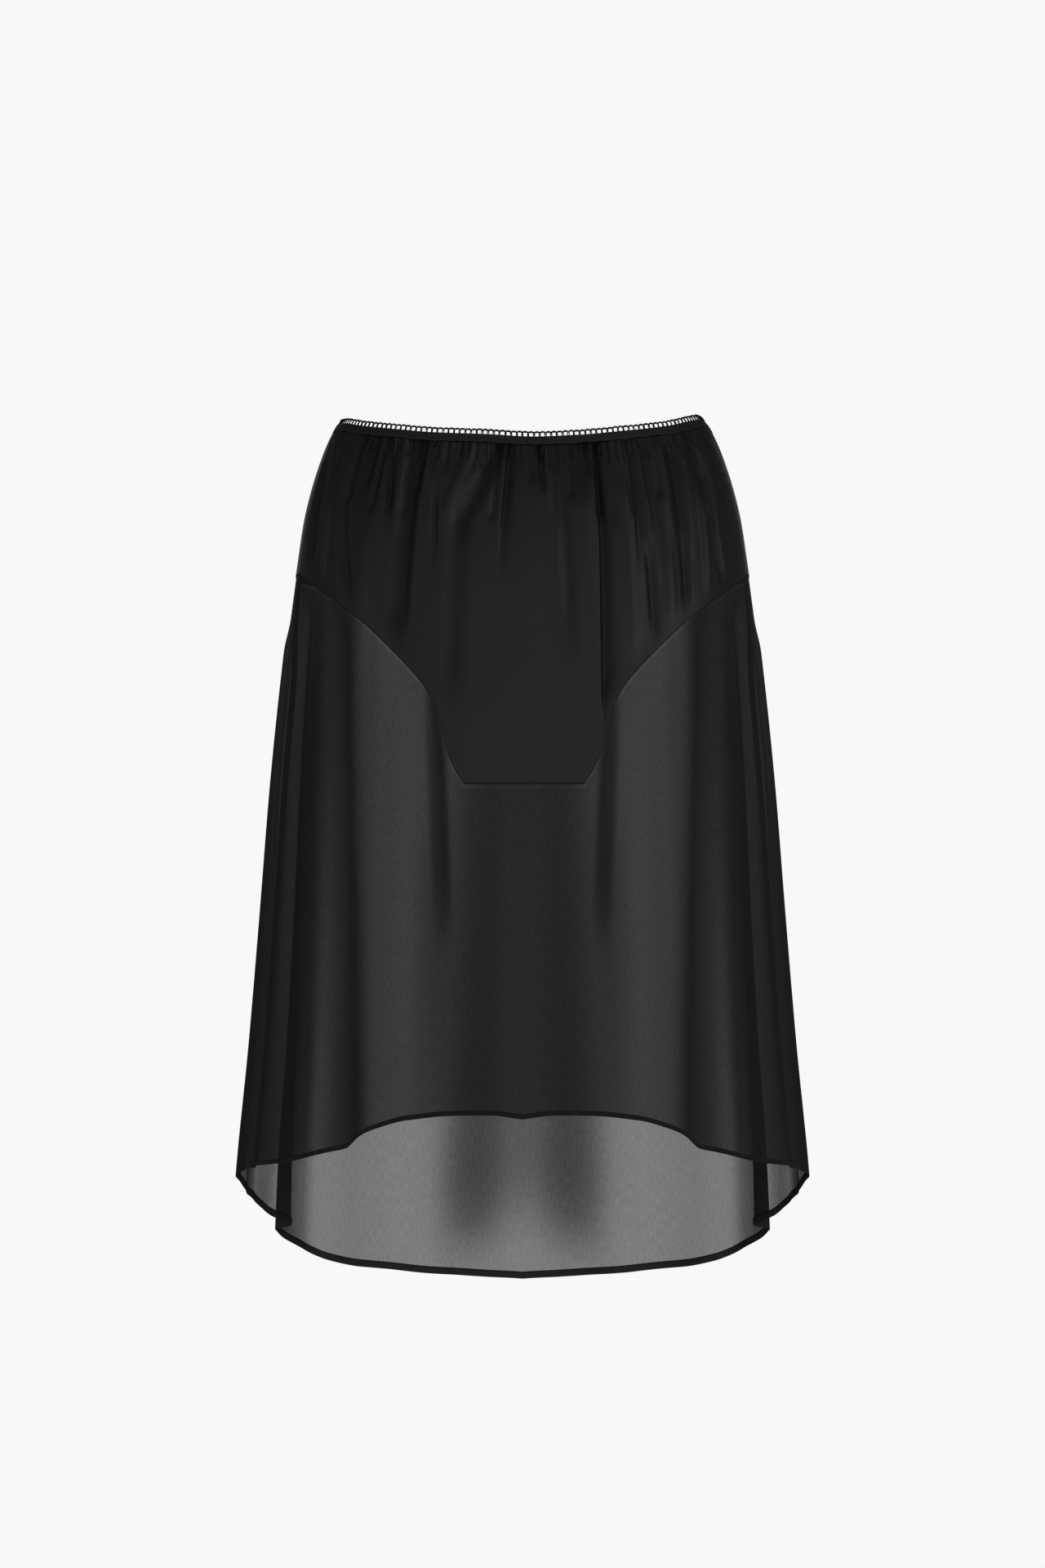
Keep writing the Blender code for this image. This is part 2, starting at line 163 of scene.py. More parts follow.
# Folds. Columns: turn at the upper end, turn at the lower end, upper end, lower end, depth there
# and there, half width there and there, and where across the fold its crest lies, from -1 to 1.
# Turns are in degrees and sizes in mm, and a depth below 0 is a trough.
FRONT_YOKE_FOLDS = (
    (-75, -71, -36, -120, -3.0, -3.5, 9, 11, 0.0),
    (-66.5, -65, -70, -140, 2.0, 2.0, 5, 6, 0.0),
    (-63, -55.5, -60, -158, -1.4, -3.4, 8, 9, 0.3),
    (-57, -55, -10, -76, -4.0, -2.4, 22, 24, 0.0),
    (-52, -50, -96, -176, 2.2, 2.2, 15, 17, 0.0),
    (-49.5, -45.4, -22, -84, -3.6, -2.8, 5, 6, 0.0),
    (-43.5, -42.5, -46, -86, 1.8, 1.6, 5, 6, 0.0),
    (-40, -41.2, -18, -176, -6.0, -4.0, 11, 13, 0.2),
    (-35, -33, -14, -52, -2.0, -1.2, 6, 8, 0.0),
    (-31.8, -30.4, -66, -118, -2.2, -2.0, 4.5, 5, 0.0),
    (-20, -28, -30, -90, 1.6, 1.4, 7, 9, 0.0),
    (-8, -21, -20, -90, -5.0, -3.0, 12, 11, 0.0),
    (-22.5, -23.2, -76, -206, -3.4, -2.6, 11, 12, 0.0),
    (-3, -6.3, -16, -108, -4.5, -3.0, 5.5, 6, -0.5),
    (3, 3, -60, -240, 1.2, 0.8, 20, 30, 0.0),
    (6, 7, -16, -60, -2.2, -1.2, 4, 5, 0.0),
    (10.5, 12, -20, -84, -2.0, -1.6, 4, 5, 0.0),
    (13.2, 16.6, -16, -170, -2.6, -2.2, 7, 8, 0.2),
    (22.5, 22, -8, -62, -4.5, -3.0, 15, 15, 0.0),
    (22, 22, -70, -230, 1.8, 0.8, 12, 20, 0.0),
    (30.5, 28.8, -12, -232, -5.5, -4.5, 7, 8, -0.6),
    (36, 36, -60, -190, 2.2, 1.8, 10, 12, 0.0),
    (42, 41, -12, -104, -3.2, -2.4, 6, 7, -0.6),
    (46, 45.5, -20, -100, -3.0, -2.2, 8, 8, 0.0),
    (42.3, 43, -112, -184, -2.8, -2.4, 6, 7, 0.0),
    (48, 48, -110, -176, 1.6, 1.6, 8, 9, 0.0),
    (54.5, 53.2, -24, -104, -4.5, -3.5, 10, 10, 0.0),
    (53, 52.5, -110, -166, -3.0, -2.6, 6, 7, 0.0),
    (61, 59.5, -70, -160, 2.0, 1.8, 6, 7, 0.0),
    (62, 61, -10, -60, -3.5, -2.0, 9, 9, 0.0),
    (66, 64, -40, -98, -4.0, -4.5, 7, 7, -0.5),
    (64, 66, -90, -150, -4.0, -3.0, 6, 6, -0.5),
)

BACK_YOKE_FOLDS = (
    (97, 98, -24, -116, -2.0, -1.2, 7, 9, 0.3),
    (112, 110, -16, -90, -2.6, -1.0, 6, 9, -0.4),
    (127, 129, -18, -132, -3.0, -1.4, 6, 10, 0.4),
    (143, 141, -30, -100, -1.8, -1.0, 7, 9, 0.0),
    (158, 160, -16, -134, -3.0, -1.2, 6, 10, -0.5),
    (176, 174, -20, -110, -2.0, -1.0, 6, 9, 0.2),
    (191, 193, -16, -136, -3.2, -1.4, 6, 10, 0.5),
    (206, 204, -34, -96, -1.6, -0.8, 7, 8, 0.0),
    (222, 220, -18, -124, -2.8, -1.2, 6, 10, -0.4),
    (240, 241, -16, -104, -2.2, -1.0, 6, 9, 0.3),
    (259, 258, -26, -118, -2.4, -1.2, 7, 9, -0.3),
)

FRONT_PANEL_FOLDS = (
    (30.5, 24.3, -180, -390, -3.6, -2.6, 9, 9, 0.0),
    (43, 27, -130, -640, 5.0, 7.5, 30, 36, 0.0),
    (58.4, 44.6, -130, -640, -3.4, -7.0, 13, 20, 0.0),
    (63, 52.5, -130, -640, 2.2, 3.8, 13, 17, 0.0),
    (69, 63.5, -130, -640, -1.6, -3.4, 13, 20, 0.0),
    (70, 68, -300, -640, 1.0, 5.0, 10, 14, 0.0),
)

BACK_PANEL_FOLDS = (
    (89, 88, -170, -700, 2.5, 8.5, 14, 20, 0.0),
    (97, 99, -300, -740, -0.5, -5.0, 12, 18, 0.0),
    (103, 106, -140, -740, -7.0, -31.0, 17, 32, 0.0),
    (113, 116, -200, -740, 1.0, 7.0, 14, 20, 0.0),
    (127, 130, -150, -740, -3.5, -3.5, 18, 32, 0.0),
    (141, 143, -220, -740, 2.0, 2.5, 20, 30, 0.0),
    (152, 153, -140, -740, -3.0, -4.0, 18, 32, 0.0),
    (165.5, 164.5, -150, -650, -4.0, -6.0, 16, 34, 0.0),
    (180, 180, -200, -740, 2.5, 4.0, 24, 34, 0.0),
)

# Places where the sheer cloth is painted more opaque, and so darker: painted shade along fold troughs
# and towards the side seams, and broad darker bands at the centre front and back. Columns as for the
# folds, with the extra density in layers in place of the depth.
FRONT_PAINTED_DARK = (
    (0, 0, -100, -700, 0.25, 0.25, 140, 140, 0.0),
    (65, 66, -100, -700, 0.78, 0.62, 48, 50, 0.0),
    (58, 43.3, -90, -700, 0.85, 1.05, 19, 31, 0.0),
    (55, 40, -90, -700, 0.10, 0.22, 20, 30, 0.0),
    (30, 24.5, -160, -385, 1.25, 1.00, 12, 9, 0.0),
    (26.5, 25, -330, -620, 0.40, 0.08, 22, 24, 0.0),
)
BACK_PAINTED_DARK = (
    (180, 180, -110, -640, 0.60, 0.50, 62, 115, 0.0),
    (165.5, 164.5, -200, -665, 0.20, 0.58, 22, 40, 0.0),
    (87, 87, -200, -780, 0.00, 1.80, 30, 34, 0.0),
    (95.5, 95.5, -200, -780, 0.00, 1.10, 10, 13, 0.0),
    (100.5, 100.5, -200, -780, 0.00, 0.80, 10, 14, 0.0),
    (106.5, 106.5, -200, -780, 0.60, 0.70, 14, 16, 0.0),
    (113.5, 113.5, -200, -780, 0.60, 1.60, 20, 48, 0.0),
)

# How far folds and painted dark places take to fade at their upper and lower ends, at most as a share
# of their length, and how far folds take to fade at the seams that they meet
PAINTED_DARK_FADES = (0.120, 0.090)
FOLD_FADE = 0.030
YOKE_FOLD_FADES = (0.030, 0.060)
FOLD_FADE_SHARE = 0.7
SEAM_FADE = 0.034
SIDE_FADE_TURN = 4.0

# A thin painted light line below the yoke's seam: the panel is given fewer layers there, so it shows
# lighter
PAINTED_LIGHT_LINE_BELOW = 0.0018
PAINTED_LIGHT_LINE_HALF = 0.0016
PAINTED_LIGHT_LINE_LAYERS = 0.32

# Gathers below the elastic. Each pair is the least and the most of a random range.
GATHERS_FRONT = 30
GATHERS_BACK = 32
GATHER_DEPTH = (0.0010, 0.0026)
GATHER_LENGTH = (0.016, 0.062)
GATHER_HALF_WIDTH = (0.0044, 0.0058)
GATHER_FADE = 0.012
GATHER_UNEVENNESS = 0.45
GATHER_LEAN_PER_METRE = (-30.0, 30.0)
FRONT_GATHER_SEED = 11
BACK_GATHER_SEED = 12

# The smallest puckers, right under the elastic
PUCKERS_FRONT = 84
PUCKERS_BACK = 88
PUCKER_DEPTH = (0.0006, 0.0017)
PUCKER_LENGTH = (0.004, 0.018)
PUCKER_HALF_WIDTH = (0.0012, 0.0024)
PUCKER_FADE = 0.005
PUCKER_SEED = 23

# Grids, and the rows close to the edges as shares of the way from the upper edge to the lower one
FINE_STEPS = 2881
EDGE_SEARCH_START = -0.2
EDGE_SEARCH_STEPS = 14
FRONT_COLUMNS = 640
BACK_COLUMNS = 640
FRONT_YOKE_ROWS = 110
BACK_YOKE_ROWS = 64
PANEL_ROWS = 120
YOKE_ROW_SPREAD = 1.25
YOKE_EDGE_SHARES = (0.984, 0.989, 0.993, 0.997, 1.0)
SEAM_SHARES = (0.0, 0.003, 0.006, 0.009, 0.013)
SEAM_SHARES_END = 0.018

# How deep a crease is when its satin gets its full painted shade, a lower specular level
CREASE_SHADE_DEPTH = 0.0048
# How far above the seam the satin's specular level starts to fall, as painted shade where it rolls
# under
ROLLED_EDGE_SHADE = 0.0030

# Turned edges
FRONT_HEM_TURN = 0.0038
BACK_HEM_TURN = 0.0062
HEM_LAYER = 0.00045
SEAM_ALLOWANCE = 0.009
ALLOWANCE_DEPTH = 0.0009
PANEL_ALLOWANCE = 0.008

# Rows of cloth past an edge. Columns: height above that edge, and how far in from the cloth's face
YOKE_TUCK = ((0.0035, 0.0021), (0.0020, 0.0019), (0.0006, 0.0010))
YOKE_TURNED = ((0.0004, 0.0006), (0.0030, ALLOWANCE_DEPTH), (SEAM_ALLOWANCE, ALLOWANCE_DEPTH))
PANEL_BEHIND = ((PANEL_ALLOWANCE, 0.0016), (0.003, 0.0015), (0.0008, 0.0009))

# The two turns of a hem. Columns: share of the turn's width above the hem, and layers inward
HEM_TURNS = ((0.03, 1), (0.5, 1), (1.0, 1), (0.96, 2), (0.5, 2), (0.12, 2))

# The side seams' allowances, inside the cloth
SIDE_ALLOWANCE_TOP = -0.132
SIDE_ALLOWANCE_BOTTOM = -0.580
SIDE_ALLOWANCE_ROWS = 90
SIDE_ALLOWANCE_COLUMNS = 7
SIDE_ALLOWANCE_FRONT = 0.004
SIDE_ALLOWANCE_WIDTH = 0.011
SIDE_ALLOWANCE_LAYERS = (0.0007, 0.0012)
SIDE_ALLOWANCE_DENSITY = 1.3

# Picot edge
PICOT_PITCH = 0.0043
PICOT_SIDES = 8
PICOT_SEED = 5
# How loops vary: width and place as shares of the pitch, drop in metres, and thickness as a factor
PICOT_SQUEEZE = (-0.10, 0.06)
PICOT_SHIFT = (-0.03, 0.03)
PICOT_DROP = (-0.00012, 0.00018)
PICOT_THICKNESS = (0.94, 1.05)
# One loop. Columns: place along the loop from 0 to 1, depth below the top edge, cord radius, in mm
PICOT_LOOP = (
    (0.11, 4.6, 0.42),
    (0.10, 3.4, 0.42),
    (0.09, 2.5, 0.44),
    (0.05, 1.75, 0.56),
    (0.10, 1.22, 0.68),
    (0.26, 0.88, 0.76),
    (0.50, 0.78, 0.78),
    (0.74, 0.88, 0.76),
    (0.90, 1.22, 0.68),
    (0.95, 1.75, 0.56),
    (0.91, 2.5, 0.44),
    (0.90, 3.4, 0.42),
    (0.89, 4.6, 0.42),
)

# Elastic: its section, with shares of the half thickness outward and of the height down
ELASTIC_COLUMNS = 1080
ELASTIC_PROFILE = (
    (0.0, 0.0), (0.7, 0.02), (1.0, 0.10), (0.94, 0.3), (0.9, 0.5), (0.94, 0.7), (1.0, 0.9),
    (0.7, 0.99), (0.0, 1.0), (-0.7, 0.98), (-1.0, 0.9), (-1.0, 0.5), (-1.0, 0.1), (-0.7, 0.02),
)
# The waves of its lower edge: how many go round, their sizes and phases, and how far out they push
ELASTIC_SEED = 6
ELASTIC_WAVES = range(9, 75, 3)
WAVE_SIZES = (0.2, 1.0)
WAVE_PHASES = (0.0, 6.3)
WAVE_HEIGHT = 0.00009
WAVE_OUT_SHARE = 0.8

# Colours of the four materials
SATIN_COLOUR = (0.011, 0.011, 0.012)
SHEER_COLOUR = (0.022, 0.0214, 0.0208)
ELASTIC_COLOUR = (0.022, 0.022, 0.023)
PICOT_COLOUR = (0.014, 0.014, 0.015)

# Satin: specular level on open cloth and in creases, where it is lower as painted shade, the range of
# its roughness with the scale and detail of its patches, and its weave. Each bump is a strength and a
# height in metres.
SATIN_GLOSS_AND_CREASE_SHADE = (0.45, 0.26)
SATIN_ROUGHNESS = (0.40, 0.52)
SATIN_PATCHES = (28.0, 3.0)
SATIN_WEAVE = 900.0
SATIN_WEAVE_DISTORTION = 1.5
SATIN_BUMP = (0.12, 0.0001)

# Thread: the scale and detail of its grain
ELASTIC_GRAIN = (900.0, 2.0)
PICOT_GRAIN = (1400.0, 2.0)
THREAD_ROUGHNESS = 0.7
THREAD_SPECULAR = 0.3
THREAD_BUMP = (0.5, 0.0003)

# Sheer cloth: the share of light that passes straight through one layer
SHEER_THROUGH = 0.206
SHEER_ROUGHNESS = 0.75
SHEER_SPECULAR = 0.12
# Its crepe: grains a metre across and along, then the range of layers that a range of noise gives
CREPE_SCALES = (900.0, 150.0, 1.0)
CREPE_GRAIN = (1.0, 2.0)
CREPE_BUMP = (0.25, 0.0002)
CREPE_NOISE = (0.3, 0.7)
CREPE_LAYERS = (1.06, 0.92)
# How its layers grow as it turns edge on
LEAST_FACING = 0.12
FACING_POWER = 0.4

# Camera: its height and scale are measured from the photo
PHOTO_HEIGHT = 1920
METRES_PER_PIXEL = 0.00064
CAMERA_DISTANCE = 2.6
CAMERA_HEIGHT = -0.288
SENSOR = 36.0

BACKGROUND = 0.939
FLOOR_HEIGHT = -1.05
FLOOR_HALF_WIDTH = 30.0
FLOOR_STRENGTH = 0.25

# The studio's light on the cloth: its strength over a range of height, times that over one of depth
STUDIO_HEIGHTS = (-0.2, 0.8)
STUDIO_BY_HEIGHT = (1.0, 0.45)
STUDIO_DEPTHS = (-0.9, 0.3)
STUDIO_BY_DEPTH = (0.34, 0.12)

# Softboxes. Columns: name, place, width and height, power in watts
LIGHTS_AIM = (0.0, 0.0, -0.35)
LIGHTS = (
    ("softbox_left", (-2.3, -1.7, -0.4), (1.6, 2.2), 4.0),
    ("softbox_right", (2.3, -1.7, -0.4), (1.2, 2.2), 12.0),
    ("softbox_front", (0.0, -3.4, -0.7), (2.6, 1.2), 12.0),
    ("softbox_back", (0.0, 2.8, 0.2), (2.4, 1.6), 12.0),
)


def curve_through(table, at, column=1):
    """A smooth curve through a table's rows with no overshoot, read at the given places."""
    rows = np.array(sorted(table), float)
    stops, values = rows[:, 0], rows[:, column]
    secants = np.diff(values) / np.diff(stops)
    before, after = secants[:-1], secants[1:]
    product = before * after
    total = np.where(product > 0, before + after, 1.0)
    inner = np.where(product > 0, 2.0 * product / total, 0.0)
    slopes = np.concatenate([secants[:1], inner, secants[-1:]])
    at = np.clip(at, stops[0], stops[-1])
    left = np.clip(np.searchsorted(stops, at) - 1, 0, len(stops) - 2)
    span = stops[left + 1] - stops[left]
    t = (at - stops[left]) / span
    rise = values[left + 1] - values[left]
    bend_in = slopes[left] * span - rise
    bend_out = rise - slopes[left + 1] * span
    return values[left] + rise * t + t * (1 - t) * (bend_in * (1 - t) + bend_out * t)


def ramp(share):
    """0 to 1 with soft ends."""
    share = np.clip(share, 0.0, 1.0)
    return share * share * (3.0 - 2.0 * share)


def ring_sizes(turn, z):
    """Half width and depth of the ring at each height, with the depth of the side it faces."""
    height = z / MM
    half_width = curve_through(RINGS, height, 1) * MM
    front = curve_through(RINGS, height, 2) * MM
    back = curve_through(RINGS, height, 3) * MM
    return half_width, np.where(np.cos(np.radians(turn)) > 0, front, back)


def ring_point(turn, z):
    """The point on the plain ring, and the ring's outward direction there."""
    angle = np.radians(turn)
    half_width, depth = ring_sizes(turn, z)
    across = np.abs(np.sin(angle)) / half_width
    along = np.abs(np.cos(angle)) / depth
    radius = (across**RING_SQUARENESS + along**RING_SQUARENESS) ** (-1.0 / RING_SQUARENESS)
    x, y = radius * np.sin(angle), -radius * np.cos(angle)
    power = RING_SQUARENESS - 1.0
    out_x = np.sign(x) * (np.abs(x) / half_width) ** power / half_width
    out_y = np.sign(y) * (np.abs(y) / depth) ** power / depth
    length = np.hypot(out_x, out_y)
    return x, y, out_x / length, out_y / length


def millimetres_per_degree(turn, z):
    x, y, out_x, out_y = ring_point(turn, z)
    radius = np.hypot(x, y)
    facing = (x * out_x + y * out_y) / radius
    return math.radians(1.0) * radius / facing / MM


def fold_field(folds, turn, z, fades=(FOLD_FADE, FOLD_FADE)):
    """The sum of the folds' profiles at each place, in the unit of their depth columns."""
    scale = millimetres_per_degree(turn, z)
    height = z / MM
    total = np.zeros_like(turn)
    for turn_a, turn_b, upper, lower, depth_a, depth_b, wide_a, wide_b, crest in folds:
        share = np.clip((upper - height) / (upper - lower), 0.0, 1.0)
        centre = turn_a + (turn_b - turn_a) * share
        half = wide_a + (wide_b - wide_a) * share
        across = np.clip((turn - centre) * scale / half, -1.0, 1.0)
        side = np.where(across < crest, 1.0 + crest, 1.0 - crest)
        from_crest = (across - crest) / side
        longest = FOLD_FADE_SHARE * (upper - lower) * MM
        fade = ramp((upper * MM - z) / min(fades[0], longest) + 0.5)
        fade *= ramp((z - lower * MM) / min(fades[1], longest) + 0.5)
        depth = depth_a + (depth_b - depth_a) * share
        total += depth * fade * 0.5 * (1.0 + np.cos(math.pi * from_crest))
    return total


def gather_push(count, first, last, seed, turn, z, top, sizes):
    """Small uneven troughs that run down from the elastic."""
    depths, lengths, half_widths, fade_length = sizes
    random = np.random.default_rng(seed)
    scale = millimetres_per_degree(turn, z)
    step = (last - first) / count
    push = np.zeros_like(turn)
    for number in range(count):
        centre = first + step * (number + 0.5 + GATHER_UNEVENNESS * random.uniform(-1, 1))
        lean = random.uniform(*GATHER_LEAN_PER_METRE)
        depth = random.uniform(*depths)
        length = random.uniform(*lengths)
        half = random.uniform(*half_widths)
        below = top - z
        across = (turn - centre - lean * below) * scale * MM / half
        fade = 1.0 - ramp((below - length) / fade_length + 0.5)
        push -= depth * fade * 0.5 * (1.0 + np.cos(math.pi * np.clip(across, -1.0, 1.0)))
    return push


def turn_at(columns, z):
    """The turn of each column at a height, as the side seams swing forward below the hip."""
    seam = curve_through(SIDE_SEAM, z / MM)
    front = columns * seam / WAIST_SEAM_TURN
    share = (columns - BACK_TURN) / (BACK_TURN - WAIST_SEAM_TURN)
    return np.where(columns > WAIST_SEAM_TURN, BACK_TURN + share * (BACK_TURN - seam), front)


def waist_edge(turn, z):
    around = (turn + BACK_TURN) % FULL_TURN - BACK_TURN
    return curve_through(WAIST_EDGE, around) * MM


def yoke_top(turn, z):
    return waist_edge(turn, z) - TRIM_HEIGHT - ELASTIC_HEIGHT - 2 * SEAM_GAP


def past_side(turn):
    return np.minimum(turn, FULL_TURN - turn) - SIDE_TURN


def front_seam(turn, z):
    x = ring_point(turn, z)[0]
    return curve_through(FRONT_SEAM, np.abs(x - TAB_OFFSET) / MM) * MM


def back_seam(turn, z):
    return curve_through(BACK_SEAM, past_side(turn)) * MM


def front_hem(turn, z):
    x = ring_point(turn, z)[0]
    return curve_through(FRONT_HEM, np.abs(x) / MM) * MM


def back_hem(turn, z):
    return curve_through(BACK_HEM, past_side(turn)) * MM


def edge_height(edge, columns):
    """Where each column crosses an edge whose height depends on the place there."""
    z = np.full_like(columns, EDGE_SEARCH_START)
    for _ in range(EDGE_SEARCH_STEPS):
        z = edge(turn_at(columns, z), z)
    return z


def near_turn(turn):
    """The same turn counted from the front on either side."""
    return np.where(turn > BACK_TURN, FULL_TURN - turn, np.abs(turn))


def side_fade(columns):
    """Lets folds die away at the side seams, where two panels meet."""
    return ramp(np.minimum(columns - columns[0], columns[-1] - columns) / SIDE_FADE_TURN)


def panel_push(folds, turn, z, seam):
    return fold_field(folds, near_turn(turn), z) * MM * ramp((seam - z) / SEAM_FADE)


def panel_columns(first, last, count, folds, seam, hem):
    """Columns between two side seams, evenly spaced along the folded hem."""
    fine = np.linspace(first, last, FINE_STEPS)
    z = edge_height(hem, fine)
    turn = turn_at(fine, z)
    x, y, out_x, out_y = ring_point(turn, z)
    push = panel_push(folds, turn, z, edge_height(seam, fine)) * side_fade(fine)
    steps = np.hypot(np.diff(x + out_x * push), np.diff(y + out_y * push))
    walked = np.concatenate([[0.0], np.cumsum(steps)])
    return np.interp(np.linspace(0.0, walked[-1], count + 1), walked, fine)


def ring_surface(turn, z, push):
    """Points pushed out from the rings, with the outward directions of the plain rings."""
    x, y, out_x, out_y = ring_point(turn, z)
    outward = np.stack([out_x, out_y, np.zeros_like(out_x)], axis=2)
    return np.stack([x, y, z], axis=2) + outward * push[..., None], outward


def surface_normals(points, outward):
    down = np.gradient(points, axis=0)
    along = np.gradient(points, axis=1)
    normal = np.cross(along, down)
    normal /= np.maximum(np.linalg.norm(normal, axis=2, keepdims=True), 1e-12)
    facing = np.sum(normal * outward, axis=2, keepdims=True)
    return np.where(facing < 0, -normal, normal)


def cloth_object(name, points, material, attribute, values):
    """A sheet of cloth from a grid of points. Its UVs are metres along and down the cloth."""
    rows, columns = points.shape[:2]
    index = np.arange(rows * columns).reshape(rows, columns)
    corners = [index[:-1, :-1], index[1:, :-1], index[1:, 1:], index[:-1, 1:]]
    quads = np.stack(corners, axis=-1).reshape(-1, 4)
    mesh = bpy.data.meshes.new(name)
    mesh.from_pydata(points.reshape(-1, 3).tolist(), [], quads.tolist())
    along = np.linalg.norm(np.diff(points, axis=1), axis=2)
    down = np.linalg.norm(np.diff(points, axis=0), axis=2)
    middle = rows // 2
    u = np.concatenate([[0.0], np.cumsum(along[middle])])
    v = np.concatenate([np.zeros((1, columns)), np.cumsum(down, axis=0)])
    u = np.broadcast_to(u, (rows, columns))
    uv = np.stack([u, -v], axis=-1).reshape(-1, 2)
    layer = mesh.uv_layers.new(name="cloth")
    layer.data.foreach_set("uv", uv[quads.reshape(-1)].astype(np.float32).reshape(-1))
    extra = mesh.attributes.new(attribute, "FLOAT", "POINT")
    extra.data.foreach_set("value", values.astype(np.float32).reshape(-1))
    mesh.shade_smooth()
    mesh.materials.append(material)
    made = bpy.data.objects.new(name, mesh)
    bpy.context.scene.collection.objects.link(made)
    return made


def edge_rows(table):
    """The two columns of a table of rows past an edge: one to add to heights, one along the rows."""
    rows = np.array(table, float)
    return rows[:, :1], rows[:, 1]


def satin_yoke(name, columns, rows, folds, counts, seed, seam_edge, material):
    """Half of the yoke: tucked under the elastic at the top, turned under along its lower seam."""
    top = edge_height(yoke_top, columns)
    seam = edge_height(seam_edge, columns)
    shares = np.linspace(0.0, 1.0, rows + 1) ** YOKE_ROW_SPREAD * YOKE_EDGE_SHARES[0]
    shares = np.concatenate([shares, YOKE_EDGE_SHARES[1:]])[:, None]
    body = top + (seam - top) * shares
    tuck, tuck_depths = edge_rows(YOKE_TUCK)
    turned, turned_depths = edge_rows(YOKE_TURNED)
    heights = np.concatenate([top + tuck, body, seam + turned])
    inward = np.concatenate([tuck_depths, np.zeros(len(body)), turned_depths])
    turn = turn_at(np.broadcast_to(columns, heights.shape), heights)
    first, last = turn[len(tuck), 0], turn[len(tuck), -1]
    gathers, puckers = counts
    large = (GATHER_DEPTH, GATHER_LENGTH, GATHER_HALF_WIDTH, GATHER_FADE)
    small = (PUCKER_DEPTH, PUCKER_LENGTH, PUCKER_HALF_WIDTH, PUCKER_FADE)
    push = fold_field(folds, turn, heights, YOKE_FOLD_FADES) * MM
    push += gather_push(gathers, first, last, seed, turn, heights, top, large)
    push += gather_push(puckers, first, last, seed + PUCKER_SEED, turn, heights, top, small)
    push *= ramp((heights - seam) / SEAM_FADE) * side_fade(columns)
    points, outward = ring_surface(turn, heights, push)
    normals = surface_normals(points, outward)
    points -= normals * inward[:, None, None]
    # Painted shade: the satin's specular level is lowered in deep creases and where it rolls under
    # above the seam
    crease_shade = np.clip(-push / CREASE_SHADE_DEPTH, 0.0, 1.0)
    crease_shade = np.maximum(crease_shade, ramp(1.0 - (heights - seam) / ROLLED_EDGE_SHADE))
    return cloth_object(name, points, material, "crease_painted_shade", crease_shade)


def sheer_panel(name, columns, rows, tables, seam_edge, hem_edge, hem_turn, material):
    """A lower panel, from behind the yoke's seam to its hem, which is turned in twice."""
    folds, painted_dark = tables
    seam = edge_height(seam_edge, columns)
    hem = edge_height(hem_edge, columns)
    shares = np.concatenate([SEAM_SHARES, np.linspace(SEAM_SHARES_END, 1.0, rows)])[:, None]
    body = seam + (hem - seam) * shares
    behind, behind_depths = edge_rows(PANEL_BEHIND)
    hem_shares, hem_layers = edge_rows(HEM_TURNS)
    heights = np.concatenate([seam + behind, body, hem + hem_turn * hem_shares])
    inward = np.concatenate([behind_depths, np.zeros(len(body)), HEM_LAYER * hem_layers])
    turn = turn_at(np.broadcast_to(columns, heights.shape), heights)
    push = panel_push(folds, turn, heights, seam) * side_fade(columns)
    points, outward = ring_surface(turn, heights, push)
    normals = surface_normals(points, outward)
    points -= normals * (inward[:, None, None] + 0.5 * SHEER_WALL)
    # One layer, plus extra layers painted in as painted shade at the painted dark places
    layers_painted_shade_and_light = 1.0 + fold_field(painted_dark, near_turn(turn), heights, PAINTED_DARK_FADES)
    # Painted light: fewer layers just below the seam make a thin light line
    from_light_line = np.abs(seam - PAINTED_LIGHT_LINE_BELOW - heights) / PAINTED_LIGHT_LINE_HALF
    layers_painted_shade_and_light -= PAINTED_LIGHT_LINE_LAYERS * ramp(1.0 - from_light_line)
    return cloth_object(name, points, material, "cloth_layers_painted_shade_and_light", layers_painted_shade_and_light)


def seam_allowance(name, sign, material):
    """The overlocked edges of a side seam, inside the cloth and pressed a little to the back."""
    z = np.linspace(SIDE_ALLOWANCE_TOP, SIDE_ALLOWANCE_BOTTOM, SIDE_ALLOWANCE_ROWS)[:, None]
    across = np.linspace(0.0, 1.0, SIDE_ALLOWANCE_COLUMNS)[None, :]
    seam_turn = turn_at(np.full_like(z, WAIST_SEAM_TURN), z)
    per_degree = MM * millimetres_per_degree(seam_turn, z)
    turn = seam_turn - SIDE_ALLOWANCE_FRONT / per_degree
    turn = turn + across * SIDE_ALLOWANCE_WIDTH / per_degree
    heights = np.broadcast_to(z, turn.shape)
    folded = fold_field(BACK_PANEL_FOLDS, turn, heights) * MM
    folded *= ramp((turn - seam_turn) / SIDE_FADE_TURN)
    layers = []
    for inward in SIDE_ALLOWANCE_LAYERS:
        points = ring_surface(turn * sign, heights, folded - 0.5 * SHEER_WALL - inward)[0]
        layers.append(points if sign > 0 else points[:, ::-1])
    grid = np.concatenate([layers[0], layers[1][::-1]], axis=0)
    layers_painted_shade_and_light = np.full(grid.shape[:2], SIDE_ALLOWANCE_DENSITY)
    return cloth_object(name, grid, material, "cloth_layers_painted_shade_and_light", layers_painted_shade_and_light)


def waist_length(turns):
    """The length walked along the waist's top edge from the first turn to each turn."""
    z = waist_edge(turns, 0.0)
    x, y = ring_point(turns, z)[:2]
    points = np.stack([x, y, z], axis=1)
    return np.concatenate([[0.0], np.cumsum(np.linalg.norm(np.diff(points, axis=0), axis=1))])


